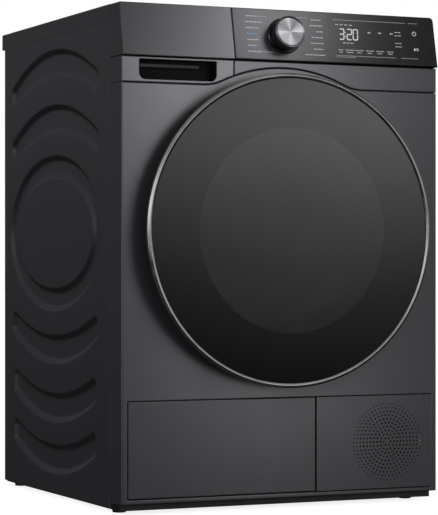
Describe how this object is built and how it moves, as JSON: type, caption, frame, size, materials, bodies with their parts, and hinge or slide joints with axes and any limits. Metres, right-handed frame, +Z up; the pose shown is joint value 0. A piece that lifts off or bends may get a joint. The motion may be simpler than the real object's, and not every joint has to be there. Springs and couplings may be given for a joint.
{
  "type": "clothes dryer",
  "caption": "Free-standing front-loading clothes dryer with a round glass door, sloping console, condensate drawer and plinth flap.",
  "frame": {"origin": "centre of the machine's outline, on the floor", "axes": "+Z up, the door faces -Y, +X to the right seen from the front"},
  "size_m": [0.595, 0.649, 0.85],
  "materials": {
    "body_paint": "satin",
    "front_paint": "satin",
    "worktop_board": "satin",
    "console_plastic": "satin",
    "plinth_plastic": "satin",
    "black_gloss": "polished",
    "black_plastic": "matte",
    "grey_plastic": "matte",
    "white_plastic": "satin",
    "trim_chrome": "polished",
    "knob_aluminium": "brushed",
    "drum_steel": "brushed",
    "zinc_steel": "satin",
    "compressor_paint": "satin",
    "door_glass": "polished",
    "seal_rubber": "matte",
    "felt": "matte",
    "circuit_board": "satin"
  },
  "bodies": {
    "cabinet": {"side_panel_left": "body_paint", "side_panel_right": "body_paint", "front_panel": "front_paint", "worktop": "worktop_board", "upper_strip": "console_plastic", "console_fascia": "console_plastic", "grille_panel": "plinth_plastic", "display_window": "black_gloss", "latch_receiver": "black_plastic", "base_tray": "black_plastic", "terminal_cover": "black_plastic", "tank_bay": "grey_plastic", "exchanger_cover": "grey_plastic", "condensate_pump": "grey_plastic", "fan_frame": "grey_plastic", "front_bulkhead": "grey_plastic", "blower_housing": "grey_plastic", "knob_ring": "trim_chrome", "evaporator": "knob_aluminium", "condenser": "knob_aluminium", "hinge_pin": "drum_steel", "flap_rod": "drum_steel", "rear_panel": "zinc_steel", "rear_duct_cover": "zinc_steel", "selector_encoder": "zinc_steel", "hinge_bracket": "zinc_steel", "bearing_housing": "zinc_steel", "motor": "zinc_steel", "compressor": "compressor_paint", "door_seal": "seal_rubber", "drum_belt": "seal_rubber", "felt_seal": "felt", "control_board": "circuit_board"},
    "door": {"door_frame": "black_plastic", "door_glass": "door_glass", "door_trim_ring": "trim_chrome", "door_bowl": "door_glass", "latch_hook": "zinc_steel"},
    "tank_drawer": {"drawer_front": "console_plastic", "water_tank": "white_plastic", "water_tank_lid": "grey_plastic"},
    "knob": {"selector_knob": "knob_aluminium"},
    "flap": {"maintenance_flap": "plinth_plastic"},
    "lever_left": {"exchanger_lever_left": "grey_plastic"},
    "lever_right": {"exchanger_lever_right": "grey_plastic"},
    "filter": {"lint_filter": "black_plastic"},
    "drum": {"drum_shell": "drum_steel", "drum_lifter_1": "grey_plastic", "drum_lifter_2": "grey_plastic", "drum_lifter_3": "grey_plastic", "drum_shaft": "zinc_steel"},
    "motor_rotor": {"motor_shaft": "zinc_steel"},
    "idler": {"idler_pulley": "zinc_steel"},
    "roller_left": {"support_roller_left": "seal_rubber"},
    "roller_right": {"support_roller_right": "seal_rubber"},
    "fan": {"cooling_fan": "black_plastic"},
    "foot_1": {"foot_front_left": "black_plastic"},
    "foot_2": {"foot_front_right": "black_plastic"},
    "foot_3": {"foot_rear_left": "black_plastic"},
    "foot_4": {"foot_rear_right": "black_plastic"}
  },
  "joints": [
    {"name": "door_hinge", "type": "hinge", "parent": "cabinet", "child": "door", "pos_m": [0.26, -0.3045, 0.4724], "axis": [0, 0, 1], "range_deg": [0, 115]},
    {"name": "drawer_slide", "type": "slide", "parent": "cabinet", "child": "tank_drawer", "axis": [0, -1, 0], "range_m": [0, 0.36]},
    {"name": "knob_turn", "type": "hinge", "parent": "cabinet", "child": "knob", "pos_m": [0.001, -0.28197, 0.80381], "axis": [0, -0.9796, 0.2008], "continuous": true},
    {"name": "flap_hinge", "type": "hinge", "parent": "cabinet", "child": "flap", "pos_m": [0, -0.278, 0.036], "axis": [1, 0, 0], "range_deg": [0, 90]},
    {"name": "lever_left_turn", "type": "hinge", "parent": "cabinet", "child": "lever_left", "pos_m": [-0.236, -0.2505, 0.11], "axis": [0, 1, 0], "range_deg": [0, 90]},
    {"name": "lever_right_turn", "type": "hinge", "parent": "cabinet", "child": "lever_right", "pos_m": [0.01, -0.2505, 0.11], "axis": [0, 1, 0], "range_deg": [-90, 0]},
    {"name": "filter_lift", "type": "slide", "parent": "cabinet", "child": "filter", "axis": [0, 0, 1], "range_m": [0, 0.12]},
    {"name": "drum_spin", "type": "hinge", "parent": "cabinet", "child": "drum", "pos_m": [0, 0, 0.4724], "axis": [0, 1, 0], "continuous": true},
    {"name": "motor_spin", "type": "hinge", "parent": "cabinet", "child": "motor_rotor", "pos_m": [-0.186, 0.094, 0.118], "axis": [0, 1, 0], "continuous": true},
    {"name": "idler_spin", "type": "hinge", "parent": "cabinet", "child": "idler", "pos_m": [-0.23565, 0.094, 0.16605], "axis": [0, 1, 0], "continuous": true},
    {"name": "roller_left_spin", "type": "hinge", "parent": "cabinet", "child": "roller_left", "pos_m": [-0.17345, -0.1715, 0.22469], "axis": [0, 1, 0], "continuous": true},
    {"name": "roller_right_spin", "type": "hinge", "parent": "cabinet", "child": "roller_right", "pos_m": [0.17345, -0.1715, 0.22469], "axis": [0, 1, 0], "continuous": true},
    {"name": "fan_spin", "type": "hinge", "parent": "cabinet", "child": "fan", "pos_m": [0.198, -0.2445, 0.108], "axis": [0, 1, 0], "continuous": true},
    {"name": "foot_1_screw", "type": "hinge", "parent": "cabinet", "child": "foot_1", "pos_m": [-0.2735, -0.2145, 0.01], "axis": [0, 0, 1], "continuous": true},
    {"name": "foot_2_screw", "type": "hinge", "parent": "cabinet", "child": "foot_2", "pos_m": [0.2735, -0.2145, 0.01], "axis": [0, 0, 1], "continuous": true},
    {"name": "foot_3_screw", "type": "hinge", "parent": "cabinet", "child": "foot_3", "pos_m": [-0.2735, 0.2797, 0.01], "axis": [0, 0, 1], "continuous": true},
    {"name": "foot_4_screw", "type": "hinge", "parent": "cabinet", "child": "foot_4", "pos_m": [0.2735, 0.2797, 0.01], "axis": [0, 0, 1], "continuous": true}
  ],
  "couplings": [
    {"joint": "motor_spin", "follows": "drum_spin", "ratio": 20.286},
    {"joint": "idler_spin", "follows": "drum_spin", "ratio": -13.524},
    {"joint": "roller_left_spin", "follows": "drum_spin", "ratio": -14.1},
    {"joint": "roller_right_spin", "follows": "drum_spin", "ratio": -14.1}
  ]
}
